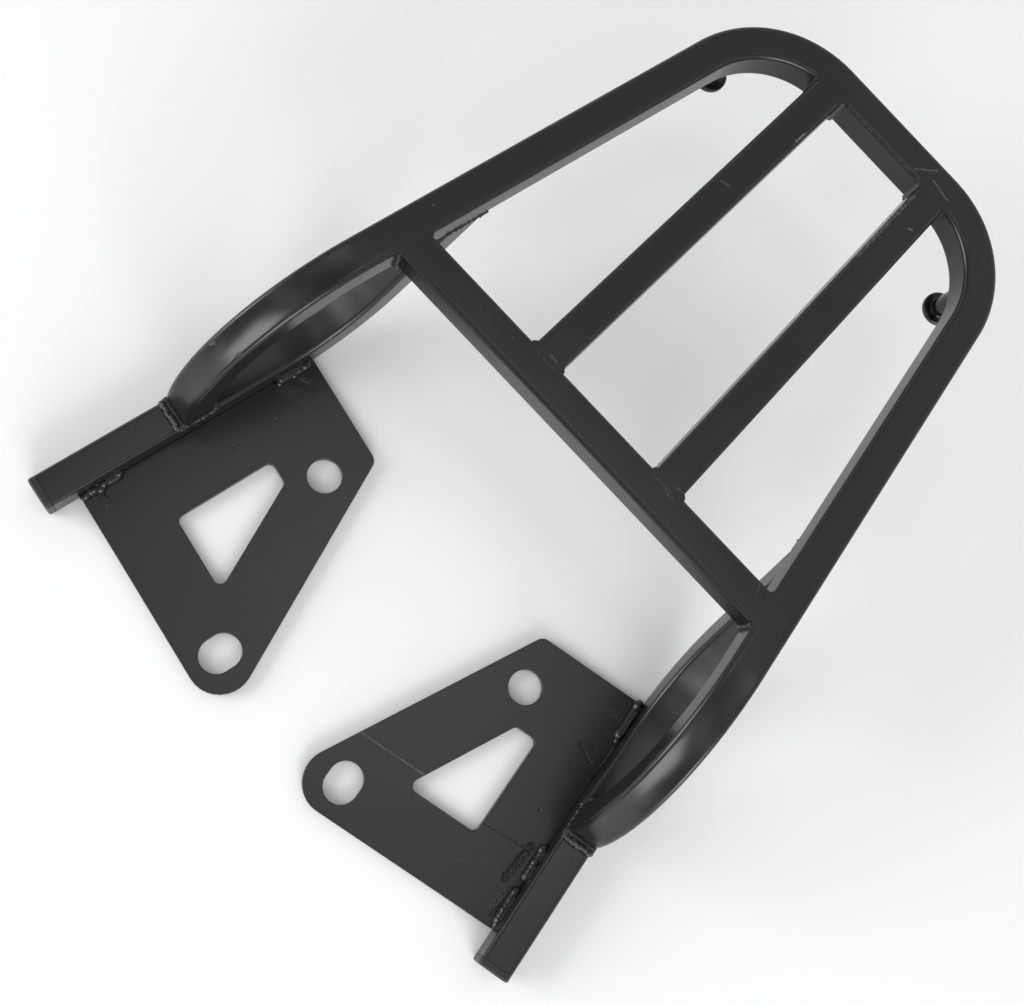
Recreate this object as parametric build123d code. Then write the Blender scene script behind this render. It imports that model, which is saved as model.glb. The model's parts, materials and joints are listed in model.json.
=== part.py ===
from build123d import *
from math import cos, radians, sin, sqrt, tan
import os

# Rear luggage rack of a motorcycle, welded from square steel tube and painted black.
# Millimetres. +Z up, +Y towards the front of the motorcycle, +X to the rider's right.
# The origin is midway between the two round holes, on the underside of the mounting plates.

# Square tube
tube = 16.0
tube_wall = 1.5
tube_corner = 2.2

# Hoop: a rear bar, two legs that spread towards the front and bend down at their ends.
# Distances back are from the rear face of the hoop, distances along are along a leg.
hole_back = 291.5
leg_spread = 10.0
rear_half_width = 83.5
rear_bend_radius = 50.0
drop_bend_radius = 82.0
drop_bend_start = 240.0
deck_height = 98.0

# Cross bar, and where the welder set the two bars between it and the rear of the hoop
cross_bar_front = 223.0
bar_rear_right = 35.4
bar_front_right = 32.8
bar_rear_left = 32.4
bar_front_left = 40.3

# Lower rails, straight at the plates and bent up to the legs behind the cross bar
rail_front = 388.7
rail_bend_start = 296.0
rail_rise = 62.0

# Mounting plates, measured back from the rail's front end and inwards from its inner face
plate_thickness = 4.0
plate_setback = 11.7
plate_length = 123.5
plate_rake = 2.0
plate_rear_depth = 56.5
plate_front_depth = 121.0
plate_tip_radius = 15.0
plate_corner = 5.0
plate_web = 31.0
plate_rear_web = 42.0
window_corner = 3.2

# Round holes and slots that bolt to the motorcycle
hole_diameter = 16.5
hole_spacing = 136.0
slot_spacing = 80.0
slot_forward = 90.0
slot_length = 20.0

# Strap pegs under the rear corners of the hoop
peg_shank = 9.6
peg_length = 23.5
peg_head = 16.6
peg_head_thickness = 3.2
peg_head_round = 1.0
peg_turn_right = 19.0
peg_turn_left = 26.0
peg_shift_right = 4.0
peg_shift_left = 0.0

# End caps in the front ends of the lower rails
cap_flange = 3.6
cap_round = 1.1
cap_plug = 14.0
cap_plug_wall = 1.6
cap_clearance = 0.3
cap_rib = 0.2
cap_rib_width = 1.2
cap_rib_pitch = 4.0
cap_rib_count = 3

# Weld beads
bead = 3.0
deck_bead = 1.5
peg_bead = 2.4
plate_bead = 3.4
stitch_length = 20.0
stitch_inset = 1.5
stitch_gap = 2.5

# Directions and places that follow from the values above
up = Vector(0, 0, 1)
forward = Vector(0, 1, 0)
across = Vector(1, 0, 0)
leg_dir = Vector(sin(radians(leg_spread)), cos(radians(leg_spread)), 0)
outward = Vector(cos(radians(leg_spread)), -sin(radians(leg_spread)), 0)
rear_face = -hole_back
rear_bar_front = rear_face + tube
cross_face_front = rear_face + cross_bar_front
cross_face_rear = cross_face_front - tube
deck_under = deck_height - tube
deck_middle = deck_height - tube / 2
leg_root = Vector(rear_half_width - tube / 2 / cos(radians(leg_spread)), rear_face, 0)
rail_length = rail_front / cos(radians(leg_spread))
reach = 3 * rail_front
on_plane = (Align.CENTER, Align.CENTER, Align.MIN)


def leg_point(along, height):
    """Point in the right leg's middle plane."""
    return leg_root + leg_dir * along + up * height


def slab(low, high, direction):
    """Large box between two distances along a direction, used to trim."""
    plane = Plane(direction * low, z_dir=direction)
    return plane * Box(reach, reach, high - low, align=on_plane)


def follow(start, moves, side, corner):
    """Solid of a rounded square section that starts on a plane and follows the moves.

    A move is (length,) for a straight run, or (radius, degrees, towards) for a bend,
    where towards points from the tube to the centre of the bend.
    """
    plane = start
    pieces = []
    for move in moves:
        face = plane * RectangleRounded(side, side, corner)
        if len(move) == 1:
            pieces.append(extrude(face, amount=move[0], dir=plane.z_dir))
            plane = Plane(plane.origin + plane.z_dir * move[0], plane.x_dir, plane.z_dir)
            continue
        radius, degrees, towards = move
        centre = plane.origin + towards * radius
        axis = Axis(centre, plane.z_dir.cross(towards))
        pieces.append(revolve(face, axis, degrees))
        turn = Axis((0, 0, 0), axis.direction)
        origin = centre + (plane.origin - centre).rotate(turn, degrees)
        plane = Plane(origin, plane.x_dir.rotate(turn, degrees), plane.z_dir.rotate(turn, degrees))
    return Part() + pieces


def square_tube(start, moves):
    """Hollow tube that follows the moves, and the same shape filled in."""
    filled = follow(start, moves, tube, tube_corner)
    hollow = follow(start, moves, tube - 2 * tube_wall, tube_corner - tube_wall)
    return filled - hollow, filled


def on_side(shape, side):
    """A right-hand shape as it is on that side."""
    return shape if side == "right" else mirror(shape, about=Plane.YZ)


def both_sides(shape):
    """A right-hand shape joined to its mirror image."""
    return shape + mirror(shape, about=Plane.YZ)


def hoop():
    """Upper hoop: half of it from the middle of the rear bar to a foot, then both halves."""
    turn = 90 - leg_spread
    corner_back = tube / 2 / cos(radians(leg_spread))
    corner = leg_point(corner_back, deck_middle)
    tangent = rear_bend_radius * tan(radians(turn / 2))
    start = Plane((0, corner.Y, corner.Z), x_dir=forward, z_dir=across)
    moves = [
        (corner.X - tangent,),
        (rear_bend_radius, turn, forward),
        (drop_bend_start - corner_back - tangent,),
        (drop_bend_radius, 90, -up),
        (deck_height,),
    ]
    keep = slab(tube, deck_height, up)
    hollow, filled = [both_sides(shape & keep) for shape in square_tube(start, moves)]
    bend_centre = Vector(corner.X - tangent, corner.Y + rear_bend_radius, 0)
    return hollow, filled, bend_centre


def cross_bar():
    """Cross bar between the inner faces of the legs."""
    middle = Vector(-reach / 2, cross_face_rear + tube / 2, deck_middle)
    start = Plane(middle, x_dir=forward, z_dir=across)
    inner_face = (leg_root - outward * (tube / 2)).dot(outward)
    beyond = both_sides(slab(inner_face, reach, outward))
    return [shape - beyond for shape in square_tube(start, [(reach,)])]


def long_bar(rear_x, front_x, hoop_filled):
    """Bar from the rear of the hoop to the cross bar, its ends cut to both of them."""
    rear = Vector(rear_x, rear_bar_front, deck_middle)
    front = Vector(front_x, cross_face_rear, deck_middle)
    direction = (front - rear).normalized()
    start = Plane(rear - direction * tube, x_dir=up, z_dir=direction)
    length = (front - rear).length + 2 * tube
    keep = slab(rear_bar_front, cross_face_rear, forward) - hoop_filled
    return [shape & keep for shape in square_tube(start, [(length,)])]


def lower_rail():
    """Right lower rail, from its front end to the underside of the leg."""
    start = Plane(leg_point(rail_length, tube / 2), x_dir=outward, z_dir=-leg_dir)
    climb = drop_bend_radius * (1 - cos(radians(rail_rise)))
    rest = (deck_under - tube / 2 - climb) / sin(radians(rail_rise))
    moves = [
        (rail_length - rail_bend_start,),
        (drop_bend_radius, rail_rise, up),
        (rest + tube,),
    ]
    keep = slab(0, deck_under, up)
    return [shape & keep for shape in square_tube(start, moves)]


def plate_plane(height):
    """Plane of the right plate: x inwards from the rail, y back from the rail's front end."""
    corner = leg_point(rail_length, height) - outward * (tube / 2)
    return Plane(corner, x_dir=-outward, z_dir=up)


def mount_plate():
    """Right mounting plate with its window, round hole and slot."""
    lean = tan(radians(plate_rake))
    rear = plate_setback + plate_length
    points = [
        (0, plate_setback),
        (plate_front_depth, plate_setback - plate_front_depth * lean),
        (plate_rear_depth, rear - plate_rear_depth * lean),
        (0, rear),
    ]
    outline = make_face(Polyline(*points, close=True))
    inset = offset(outline, -plate_web, kind=Kind.INTERSECTION)
    window = inset & (Pos(0, -plate_rear_web) * outline)
    window = fillet(window.vertices(), window_corner)
    tip = outline.vertices().sort_by(Axis.X)[-1]
    outline = fillet(tip, plate_tip_radius)
    corner = outline.vertices().sort_by_distance(points[2])[0]
    outline = fillet(corner, plate_corner)
    plate = extrude(plate_plane(0) * (outline - window), amount=plate_thickness, dir=up)
    hole = Pos(hole_spacing / 2, 0) * Circle(hole_diameter / 2)
    slot = SlotOverall(slot_length, hole_diameter, rotation=90 - leg_spread)
    slot = Pos(slot_spacing / 2, slot_forward) * slot
    for opening in (hole, slot):
        plate -= extrude(opening, amount=plate_thickness, dir=up)
    return plate


def strap_peg(place, hoop_filled):
    """Turned peg that hangs from the hoop: a shank with a disc head."""
    foot = deck_under - peg_length
    shank = Cylinder(peg_shank / 2, peg_length + tube_corner, align=on_plane)
    head = Cylinder(peg_head / 2, peg_head_thickness, align=on_plane)
    head = fillet(head.edges().filter_by(GeomType.CIRCLE), peg_head_round)
    return Pos(place.X, place.Y, foot) * (shank + head) - hoop_filled


def end_cap():
    """Plastic cap: a flange against the rail's end and a hollow ribbed plug inside it."""
    front = Plane(leg_point(rail_length, tube / 2), x_dir=outward, z_dir=leg_dir)
    flange = extrude(RectangleRounded(tube, tube, tube_corner), amount=cap_flange)
    flange = fillet(flange.faces().sort_by(Axis.Z)[-1].edges(), cap_round)
    side = tube - 2 * tube_wall - 2 * cap_clearance
    corner = tube_corner - tube_wall
    plug = extrude(RectangleRounded(side, side, corner), amount=-cap_plug)
    for index in range(cap_rib_count):
        rib = RectangleRounded(side + 2 * cap_rib, side + 2 * cap_rib, corner)
        plug += Pos(0, 0, -(index + 1) * cap_rib_pitch) * extrude(rib, amount=cap_rib_width)
    bore = side - 2 * cap_plug_wall
    plug -= extrude(Rectangle(bore, bore), amount=-cap_plug)
    return front * (flange + plug)


def collar_weld(origin, normal, along, half_width, leg, members):
    """Bead round a tube that ends on a flat wall, flush with the tube on the other two sides."""
    points = [
        (-half_width - leg, -tube_corner),
        (-half_width - leg, 0),
        (-half_width, leg),
        (half_width, leg),
        (half_width + leg, 0),
        (half_width + leg, -tube_corner),
    ]
    plane = Plane(origin, x_dir=along, z_dir=along.cross(normal))
    body = extrude(plane * make_face(Polyline(*points, close=True)), amount=tube / 2, both=True)
    for member in members:
        body -= member
    return body


def foot_weld(hoop_filled, rail_filled):
    """Bead where the hoop's right foot stands on the lower rail."""
    lift = min(deck_middle - drop_bend_radius - tube, 0)
    far = sqrt((drop_bend_radius + tube / 2) ** 2 - lift ** 2)
    near = sqrt((drop_bend_radius - tube / 2) ** 2 - lift ** 2)
    origin = leg_point(drop_bend_start + (far + near) / 2, tube)
    return collar_weld(origin, up, leg_dir, (far - near) / 2, bead, (hoop_filled, rail_filled))


def rail_end_weld(hoop_filled, rail_filled):
    """Bead where the right lower rail meets the underside of the leg."""
    rise = radians(rail_rise)
    bend_end = rail_bend_start - drop_bend_radius * sin(rise)
    climb = tube / 2 + drop_bend_radius * (1 - cos(rise))
    along = bend_end - (deck_under - climb) / tan(rise)
    origin = leg_point(along, deck_under)
    return collar_weld(origin, -up, leg_dir, tube / 2 / sin(rise), bead, (hoop_filled, rail_filled))


def cross_bar_weld(hoop_filled, bar_filled):
    """Bead where the cross bar meets the right leg."""
    along = (cross_bar_front - tube / 2) / cos(radians(leg_spread))
    shift = tube / 2 * tan(radians(leg_spread))
    origin = leg_point(along, deck_middle) - outward * (tube / 2) - leg_dir * shift
    half_width = tube / 2 / cos(radians(leg_spread))
    return collar_weld(origin, -outward, leg_dir, half_width, deck_bead, (hoop_filled, bar_filled))


def bar_weld(place_x, wall_y, normal, wall_filled, bar_filled):
    """Bead where a long bar meets the rear bar or the cross bar."""
    origin = Vector(place_x, wall_y, deck_middle)
    return collar_weld(origin, normal, across, tube / 2, deck_bead, (wall_filled, bar_filled))


def stitch_weld(starts):
    """Short beads along the corner between the right rail and the plate's top."""
    beads = Part()
    plane = plate_plane(plate_thickness)
    corner = plane * Box(2 * plate_bead, reach, 2 * plate_bead, align=(Align.MIN, Align.CENTER, Align.MIN))
    length = stitch_length - 2 * plate_bead
    for start in starts:
        middle = plate_setback + start + stitch_length / 2
        rod = Cylinder(plate_bead, length, rotation=(90, 0, 0))
        for end in (-length / 2, length / 2):
            rod += Pos(0, end, 0) * Sphere(plate_bead)
        beads += (plane * Pos(0, middle, 0) * rod) & corner
    return beads


def peg_weld(place, hoop_filled):
    """Fillet round the root of a peg, under the hoop."""
    points = [
        (peg_shank / 2, tube_corner),
        (peg_shank / 2, -peg_bead),
        (peg_shank / 2 + peg_bead, 0),
        (peg_shank / 2 + peg_bead, tube_corner),
    ]
    plane = Plane((place.X, place.Y, deck_under), x_dir=across, z_dir=-forward)
    ring = revolve(plane * make_face(Polyline(*points, close=True)), Axis(plane.origin, up), 360)
    return ring - hoop_filled


hoop_tube, hoop_filled, bend_centre = hoop()
cross_tube, cross_filled = cross_bar()
rail_tube, rail_filled = lower_rail()
rail_top_weld = rail_end_weld(hoop_filled, rail_filled)
bar_ends = {"right": (bar_rear_right, bar_front_right), "left": (-bar_rear_left, -bar_front_left)}
peg_spots = {"right": (peg_turn_right, peg_shift_right), "left": (peg_turn_left, peg_shift_left)}
stitch_rear = plate_length - stitch_inset - stitch_length
stitches = {
    "right": (stitch_inset, stitch_rear),
    "left": (stitch_inset, stitch_inset + stitch_length + stitch_gap, stitch_rear),
}

nodes = {"hoop_tube": hoop_tube, "cross_bar": cross_tube}
paired = {
    "lower_rail": rail_tube,
    "mount_plate": mount_plate(),
    "end_cap": end_cap(),
    "weld_hoop_foot": foot_weld(hoop_filled, rail_filled),
    "weld_rail_top": rail_top_weld,
    "weld_cross_bar": cross_bar_weld(hoop_filled, cross_filled) - rail_top_weld,
}
for name, shape in paired.items():
    for side in ("right", "left"):
        nodes[f"{name}_{side}"] = on_side(shape, side)
for side, (rear_x, front_x) in bar_ends.items():
    bar_tube, bar_filled = long_bar(rear_x, front_x, hoop_filled)
    peg_turn, peg_shift = peg_spots[side]
    peg_angle = radians(-leg_spread - peg_turn)
    peg_reach = rear_bend_radius + peg_shift
    peg_place = bend_centre + Vector(cos(peg_angle), sin(peg_angle), 0) * peg_reach
    nodes["long_bar_" + side] = bar_tube
    nodes["weld_bar_rear_" + side] = bar_weld(rear_x, rear_bar_front, forward, hoop_filled, bar_filled)
    nodes["weld_bar_front_" + side] = bar_weld(front_x, cross_face_rear, -forward, cross_filled, bar_filled)
    nodes["weld_plate_" + side] = on_side(stitch_weld(stitches[side]), side)
    nodes["strap_peg_" + side] = on_side(strap_peg(peg_place, hoop_filled), side)
    nodes["weld_strap_peg_" + side] = on_side(peg_weld(peg_place, hoop_filled), side)

os.makedirs("parts", exist_ok=True)
for name, shape in nodes.items():
    export_step(shape, f"parts/{name}.step")
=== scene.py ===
"""Black motorcycle luggage rack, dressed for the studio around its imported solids.

Sizes are in millimetres, and become metres where a mesh is written. +Z is up, +Y points to the
front of the motorcycle and +X to the rider's right. The origin is midway between the round holes
on the underside of the mounting plates.
"""

import json
import logging
import math
from dataclasses import dataclass
from enum import Enum
from typing import Iterable, Sequence

import bmesh
import bpy
from mathutils import Matrix, Quaternion, Vector

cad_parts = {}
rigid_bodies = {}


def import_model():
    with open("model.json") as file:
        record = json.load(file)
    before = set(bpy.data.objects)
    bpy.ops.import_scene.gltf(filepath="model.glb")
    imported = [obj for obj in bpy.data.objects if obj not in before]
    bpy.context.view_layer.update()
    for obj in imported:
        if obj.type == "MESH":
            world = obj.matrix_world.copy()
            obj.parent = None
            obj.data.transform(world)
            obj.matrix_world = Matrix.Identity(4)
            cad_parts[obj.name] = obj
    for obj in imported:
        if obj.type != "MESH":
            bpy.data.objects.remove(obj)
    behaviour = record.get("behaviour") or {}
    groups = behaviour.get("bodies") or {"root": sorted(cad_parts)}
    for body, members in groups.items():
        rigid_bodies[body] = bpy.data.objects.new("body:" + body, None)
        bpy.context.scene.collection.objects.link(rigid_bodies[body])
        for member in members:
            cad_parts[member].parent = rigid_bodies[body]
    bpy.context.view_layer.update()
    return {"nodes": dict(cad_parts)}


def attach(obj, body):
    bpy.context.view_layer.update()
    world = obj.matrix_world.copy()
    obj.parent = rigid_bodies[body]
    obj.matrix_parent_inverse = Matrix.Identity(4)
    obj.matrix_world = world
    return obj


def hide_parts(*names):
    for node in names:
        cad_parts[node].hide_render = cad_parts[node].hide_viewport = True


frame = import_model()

MM = 0.001
BODY = "root"
UP = Vector((0.0, 0.0, 1.0))
FORWARD = Vector((0.0, 1.0, 0.0))
ACROSS = Vector((1.0, 0.0, 0.0))
log = logging.getLogger("rack")


class Side(Enum):
    """Which side of the motorcycle a piece is on, as the rider sits."""

    RIGHT = 1
    LEFT = -1

    @property
    def word(self) -> str:
        """Ending of the names of this side's nodes."""
        return self.name.lower()

    def across(self, vector: Vector) -> Vector:
        """A right-hand vector as it is on this side."""
        return Vector((vector.x * self.value, vector.y, vector.z))


# Sizes


@dataclass(frozen=True)
class RackSizes:
    """Sizes that the pieces share, in millimetres.

    Attributes:
        tube: Side of the square tubes.
        corner: Radius of their corners.
        wall: Thickness of their walls.
        plate: Thickness of the mounting plates.
        hole_back: Distance from the round holes back to the hoop's rear face.
        spread: Angle of the legs to the middle line, in radians.
        rear_half_width: Half width of the hoop at its rear face, were its corners sharp.
        rear_bend: Radius of the hoop's rear bends at the tube's middle line.
        drop_bend: Radius of its bends down to the feet.
        drop_start: Distance along a leg at which the bend down starts.
        deck: Height of the deck.
        cross_front: Distance from the rear face to the cross bar's front face.
        rail_front: Distance from the rear face to the rails' front ends.
    """

    tube: float = 16.0
    corner: float = 2.2
    wall: float = 1.5
    plate: float = 4.0
    hole_back: float = 291.5
    spread: float = math.radians(10.0)
    rear_half_width: float = 83.5
    rear_bend: float = 50.0
    drop_bend: float = 82.0
    drop_start: float = 240.0
    deck: float = 98.0
    cross_front: float = 223.0
    rail_front: float = 388.7

    @property
    def leg_dir(self) -> Vector:
        """Direction of the right leg, towards the front."""
        return Vector((math.sin(self.spread), math.cos(self.spread), 0.0))

    @property
    def outward(self) -> Vector:
        """Direction across the right leg, away from the middle."""
        return Vector((math.cos(self.spread), -math.sin(self.spread), 0.0))

    @property
    def leg_root(self) -> Vector:
        """Where the right leg's middle line meets the rear face."""
        x = self.rear_half_width - self.tube / 2 / math.cos(self.spread)
        return Vector((x, -self.hole_back, 0.0))

    @property
    def rear_front(self) -> float:
        """Y of the rear bar's front face."""
        return self.tube - self.hole_back

    @property
    def cross_face(self) -> float:
        """Y of the cross bar's front face."""
        return self.cross_front - self.hole_back

    @property
    def under(self) -> float:
        """Height of the deck tubes' undersides."""
        return self.deck - self.tube

    @property
    def middle(self) -> float:
        """Height of the deck tubes' middle lines."""
        return self.deck - self.tube / 2

    @property
    def rail_length(self) -> float:
        """Distance along the leg's line of the rail's front end."""
        return self.rail_front / math.cos(self.spread)

    def leg_point(self, along: float, height: float) -> Vector:
        """Point in the right leg's middle plane."""
        return self.leg_root + self.leg_dir * along + UP * height


SIZES = RackSizes()
BAR_ENDS = {Side.RIGHT: (35.4, 32.8), Side.LEFT: (-32.4, -40.3)}
"""X of each long bar's rear and front end, as the welder set them."""
PEG_SPOTS = {Side.RIGHT: (19.0, 4.0), Side.LEFT: (26.0, 0.0)}
"""Degrees round the rear bend from the leg, and millimetres outside its middle line, of each peg."""
HOLE_EDGES = 64
PEG_EDGES = 48
NORMAL_WEIGHT = 90
"""How strongly the large faces pull the shading of rounded edges."""


# Shader maths


class Shade:
    """A node's output that takes part in Python arithmetic by adding Math nodes."""

    def __init__(self, board: "Board", socket: bpy.types.NodeSocket) -> None:
        """Wraps a socket of a board's tree."""
        self.board = board
        self.socket = socket

    def _do(self, operation: str, *values: "Shade | float") -> "Shade":
        """A Math node of that operation on the values."""
        return self.board.add("ShaderNodeMath", {"operation": operation}, dict(enumerate(values)))

    def __add__(self, other: "Shade | float") -> "Shade":
        """Sum."""
        return self._do("ADD", self, other)

    __radd__ = __add__

    def __sub__(self, other: "Shade | float") -> "Shade":
        """Difference."""
        return self._do("SUBTRACT", self, other)

    def __rsub__(self, other: float) -> "Shade":
        """Difference from a number."""
        return self._do("SUBTRACT", other, self)

    def __mul__(self, other: "Shade | float") -> "Shade":
        """Product."""
        return self._do("MULTIPLY", self, other)

    __rmul__ = __mul__

    def __pow__(self, other: float) -> "Shade":
        """Power."""
        return self._do("POWER", self, other)

    def twin(self, name: str) -> "Shade":
        """Another output of the same node."""
        return Shade(self.board, self.socket.node.outputs[name])

    def least(self, other: "Shade | float") -> "Shade":
        """The smaller of two values."""
        return self._do("MINIMUM", self, other)

    def most(self, other: "Shade | float") -> "Shade":
        """The larger of two values."""
        return self._do("MAXIMUM", self, other)

    def step(self, start: float, end: float) -> "Shade":
        """Smooth step from 0 at start to 1 at end, also where end is the smaller.

        Args:
            start: Value at which the result is 0.
            end: Value at which the result is 1.
        """
        low, high, first, last = (start, end, 0.0, 1.0) if start < end else (end, start, 1.0, 0.0)
        settings = {"interpolation_type": "SMOOTHSTEP"}
        return self.board.add("ShaderNodeMapRange", settings, {0: self, 1: low, 2: high, 3: first, 4: last})


class Board:
    """Adds nodes to one shader or geometry tree."""

    def __init__(self, tree: bpy.types.NodeTree) -> None:
        """Takes an empty or a filled tree."""
        self.tree = tree

    def add(
        self, kind: str, settings: dict | None = None, values: dict | None = None, out: int | str = 0
    ) -> Shade:
        """Adds a node, sets it up and returns one of its outputs.

        Args:
            kind: Node type.
            settings: Properties of the node, set before its sockets.
            values: Socket name or number to a number, a tuple or another node's output.
            out: Name or number of the output to return.

        Returns:
            The output, ready for arithmetic.
        """
        node = self.tree.nodes.new(kind)
        for name, value in (settings or {}).items():
            setattr(node, name, value)
        for name, value in (values or {}).items():
            if isinstance(value, Shade):
                self.tree.links.new(value.socket, node.inputs[name])
            else:
                node.inputs[name].default_value = value
        return Shade(self, node.outputs[out])

    def vector(self, operation: str, values: dict, out: int | str = 0) -> Shade:
        """A Vector Math node of that operation on the values."""
        return self.add("ShaderNodeVectorMath", {"operation": operation}, values, out)

    def millimetres(self) -> Shade:
        """Object coordinates in millimetres."""
        return self.vector("SCALE", {0: self.add("ShaderNodeTexCoord", out="Object"), "Scale": 1.0 / MM})

    def noise(self, place: Shade, size: float, detail: float = 2.0, roughness: float = 0.5) -> Shade:
        """Noise whose blotches are about size millimetres wide."""
        values = {"Vector": place, "Scale": 1.0 / size, "Detail": detail, "Roughness": roughness}
        return self.add("ShaderNodeTexNoise", {}, values)

    def specks(self, place: Shade, spacing: float, radius: float, share: float) -> Shade:
        """Round specks: 1 inside, 0 outside.

        Args:
            place: Coordinates in millimetres.
            spacing: Width of the cells that hold one speck at most.
            radius: Radius of a speck.
            share: Share of the cells that hold one.
        """
        values = {"Vector": place, "Scale": 1.0 / spacing, "Randomness": 1.0}
        cells = self.add("ShaderNodeTexVoronoi", {"feature": "F1"}, values)
        pick = self.add("ShaderNodeSeparateColor", {}, {0: cells.twin("Color")})
        chosen = pick.step(1.0 - share, 1.0 - share + 0.02)
        return cells.step(radius / spacing, 0.5 * radius / spacing) * chosen

    def far(self, place: Shade, start: Sequence[float], end: Sequence[float]) -> Shade:
        """Distance from a stretch of line, in millimetres."""
        first, last = Vector(start), Vector(end)
        run = last - first
        from_start = self.vector("SUBTRACT", {0: place, 1: first})
        along = self.vector("DOT_PRODUCT", {0: from_start, 1: run}, "Value")
        share = (along * (1.0 / max(run.length_squared, 1e-6))).most(0.0).least(1.0)
        foot = self.vector("SCALE", {0: run, "Scale": share})
        return self.vector("DISTANCE", {0: from_start, 1: foot}, "Value")

    def mix(self, factor: Shade, first: tuple | Shade, second: tuple | Shade) -> Shade:
        """Colour between first and second."""
        return self.add("ShaderNodeMix", {"data_type": "RGBA"}, {0: factor, 6: first, 7: second}, 2)


# Finishes


@dataclass(frozen=True)
class Scuff:
    """A mark in the paint along a short line.

    Attributes:
        start: One end, in millimetres.
        end: Other end, in millimetres.
        width: Half width of the mark.
        light: How far it bares lighter metal or chalky paint, 0 to 1.
        grain: Size of the gaps that break it up.
        dent: Depth, in millimetres, negative where it stands proud.
    """

    start: tuple[float, float, float]
    end: tuple[float, float, float]
    width: float = 0.5
    light: float = 0.5
    grain: float = 1.0
    dent: float = 0.05


def grey(level: float) -> tuple[float, float, float, float]:
    """Neutral colour of that linear level."""
    return (level, level, level * 1.02, 1.0)


class Finish:
    """A material whose colour, roughness and bump vary over the surface."""

    name: str

    def surface(self, board: Board, place: Shade) -> tuple[Shade, Shade, Shade]:
        """Colour, roughness and height in millimetres at a place in millimetres."""
        raise NotImplementedError

    def make(self) -> bpy.types.Material:
        """Builds the material."""
        material = bpy.data.materials.new(self.name)
        material.use_nodes = True
        board = Board(material.node_tree)
        colour, rough, height = self.surface(board, board.millimetres())
        bump = board.add("ShaderNodeBump", {}, {"Height": height, "Strength": 1.0, "Distance": MM})
        shader = material.node_tree.nodes["Principled BSDF"]
        for socket, value in (("Base Color", colour), ("Roughness", rough), ("Normal", bump)):
            material.node_tree.links.new(value.socket, shader.inputs[socket])
        return material


@dataclass(frozen=True)
class BlackPaint(Finish):
    """Sprayed black paint over steel, with orange peel, dust, nibs and scuffs.

    Attributes:
        name: Name of the material.
        level: Linear level of the colour.
        gloss: Roughness where nothing has worn it.
        peel: Depth of the orange peel in millimetres.
        peel_size: Width of its bumps in millimetres.
        swell: Depth of the slow waves of the metal below.
        nibs: Share of cells with a paint nib.
        lumps: Depth of coarse weld lumps below the paint.
        scuffs: Marks at their own places.
    """

    CLOUD_SIZE = 22.0
    GRIME_SIZE = 2.6
    SWELL_SIZE = 34.0
    LUMP_SIZE = 2.2
    NIB = (7.0, 0.42)
    """Spacing and radius of the nibs."""
    NIB_HEIGHT = 0.10
    DUST = (3.3, 0.16, 0.16)
    """Spacing, radius and share of the dust specks."""
    DUST_LIGHT = 0.35
    BARE = 0.20
    """Linear level of dust and of a bare mark."""

    name: str
    level: float = 0.011
    gloss: float = 0.24
    peel: float = 0.006
    peel_size: float = 1.4
    swell: float = 0.05
    nibs: float = 0.10
    lumps: float = 0.0
    scuffs: tuple[Scuff, ...] = ()

    def surface(self, board: Board, place: Shade) -> tuple[Shade, Shade, Shade]:
        """Colour, roughness and height of the paint."""
        cloud = board.noise(place, self.CLOUD_SIZE, 3.0)
        grime = board.noise(place, self.GRIME_SIZE, 4.0, 0.6)
        nib = board.specks(place, *self.NIB, self.nibs)
        dust = board.specks(place, *self.DUST)
        wear, dent = self._wear(board, place)
        dusty = dust * self.DUST_LIGHT * grime.step(0.45, 0.62)
        colour = board.mix(cloud, grey(self.level * 0.85), grey(self.level * 1.2))
        colour = board.mix(dusty.most(wear), colour, grey(self.BARE))
        rough = self.gloss - 0.03 + cloud * 0.04 + grime * 0.05 + wear * 0.25
        peel = board.noise(place, self.peel_size, 1.0) * self.peel
        swell = board.noise(place, self.SWELL_SIZE, 1.0) * self.swell
        height = peel + swell + nib * self.NIB_HEIGHT - dent
        if self.lumps:
            height = height + board.noise(place, self.LUMP_SIZE, 3.0, 0.65) * self.lumps
        return colour, rough, height

    def _wear(self, board: Board, place: Shade) -> tuple[Shade | float, Shade | float]:
        """Lightening and depth of all scuffs.

        Args:
            board: The material's board.
            place: Coordinates in millimetres.

        Returns:
            Share of bare mark, and depth in millimetres.
        """
        wear: Shade | float = 0.0
        dent: Shade | float = 0.0
        for scuff in self.scuffs:
            gaps = board.noise(place, scuff.grain, 2.0, 0.6).step(0.42, 0.56)
            mark = board.far(place, scuff.start, scuff.end).step(scuff.width, 0.35 * scuff.width) * gaps
            wear = mark * scuff.light + wear
            dent = mark * scuff.dent + dent
        return (wear.least(1.0) if self.scuffs else wear), dent


@dataclass(frozen=True)
class MouldedPlastic(Finish):
    """Matt black moulded plastic with a fine grain."""

    name: str = "moulded_cap"
    level: float = 0.016

    def surface(self, board: Board, place: Shade) -> tuple[Shade, Shade, Shade]:
        """Colour, roughness and height of the plastic."""
        grain = board.noise(place, 0.35, 2.0)
        cloud = board.noise(place, 5.0, 3.0)
        colour = board.mix(cloud, grey(self.level * 0.8), grey(self.level * 1.5))
        return colour, 0.38 + cloud * 0.12, grain * 0.02 + cloud * 0.05


# Marks that the photo shows


def marks(height: float, *rows: tuple[float, ...]) -> tuple[Scuff, ...]:
    """Scuffs on a level face.

    Args:
        height: Height of the face.
        rows: X and y of one end, x and y of the other, and the mark's width, light, grain and dent.

    Returns:
        The scuffs.
    """
    return tuple(Scuff((*row[:2], height), (*row[2:4], height), *row[4:]) for row in rows)


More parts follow.
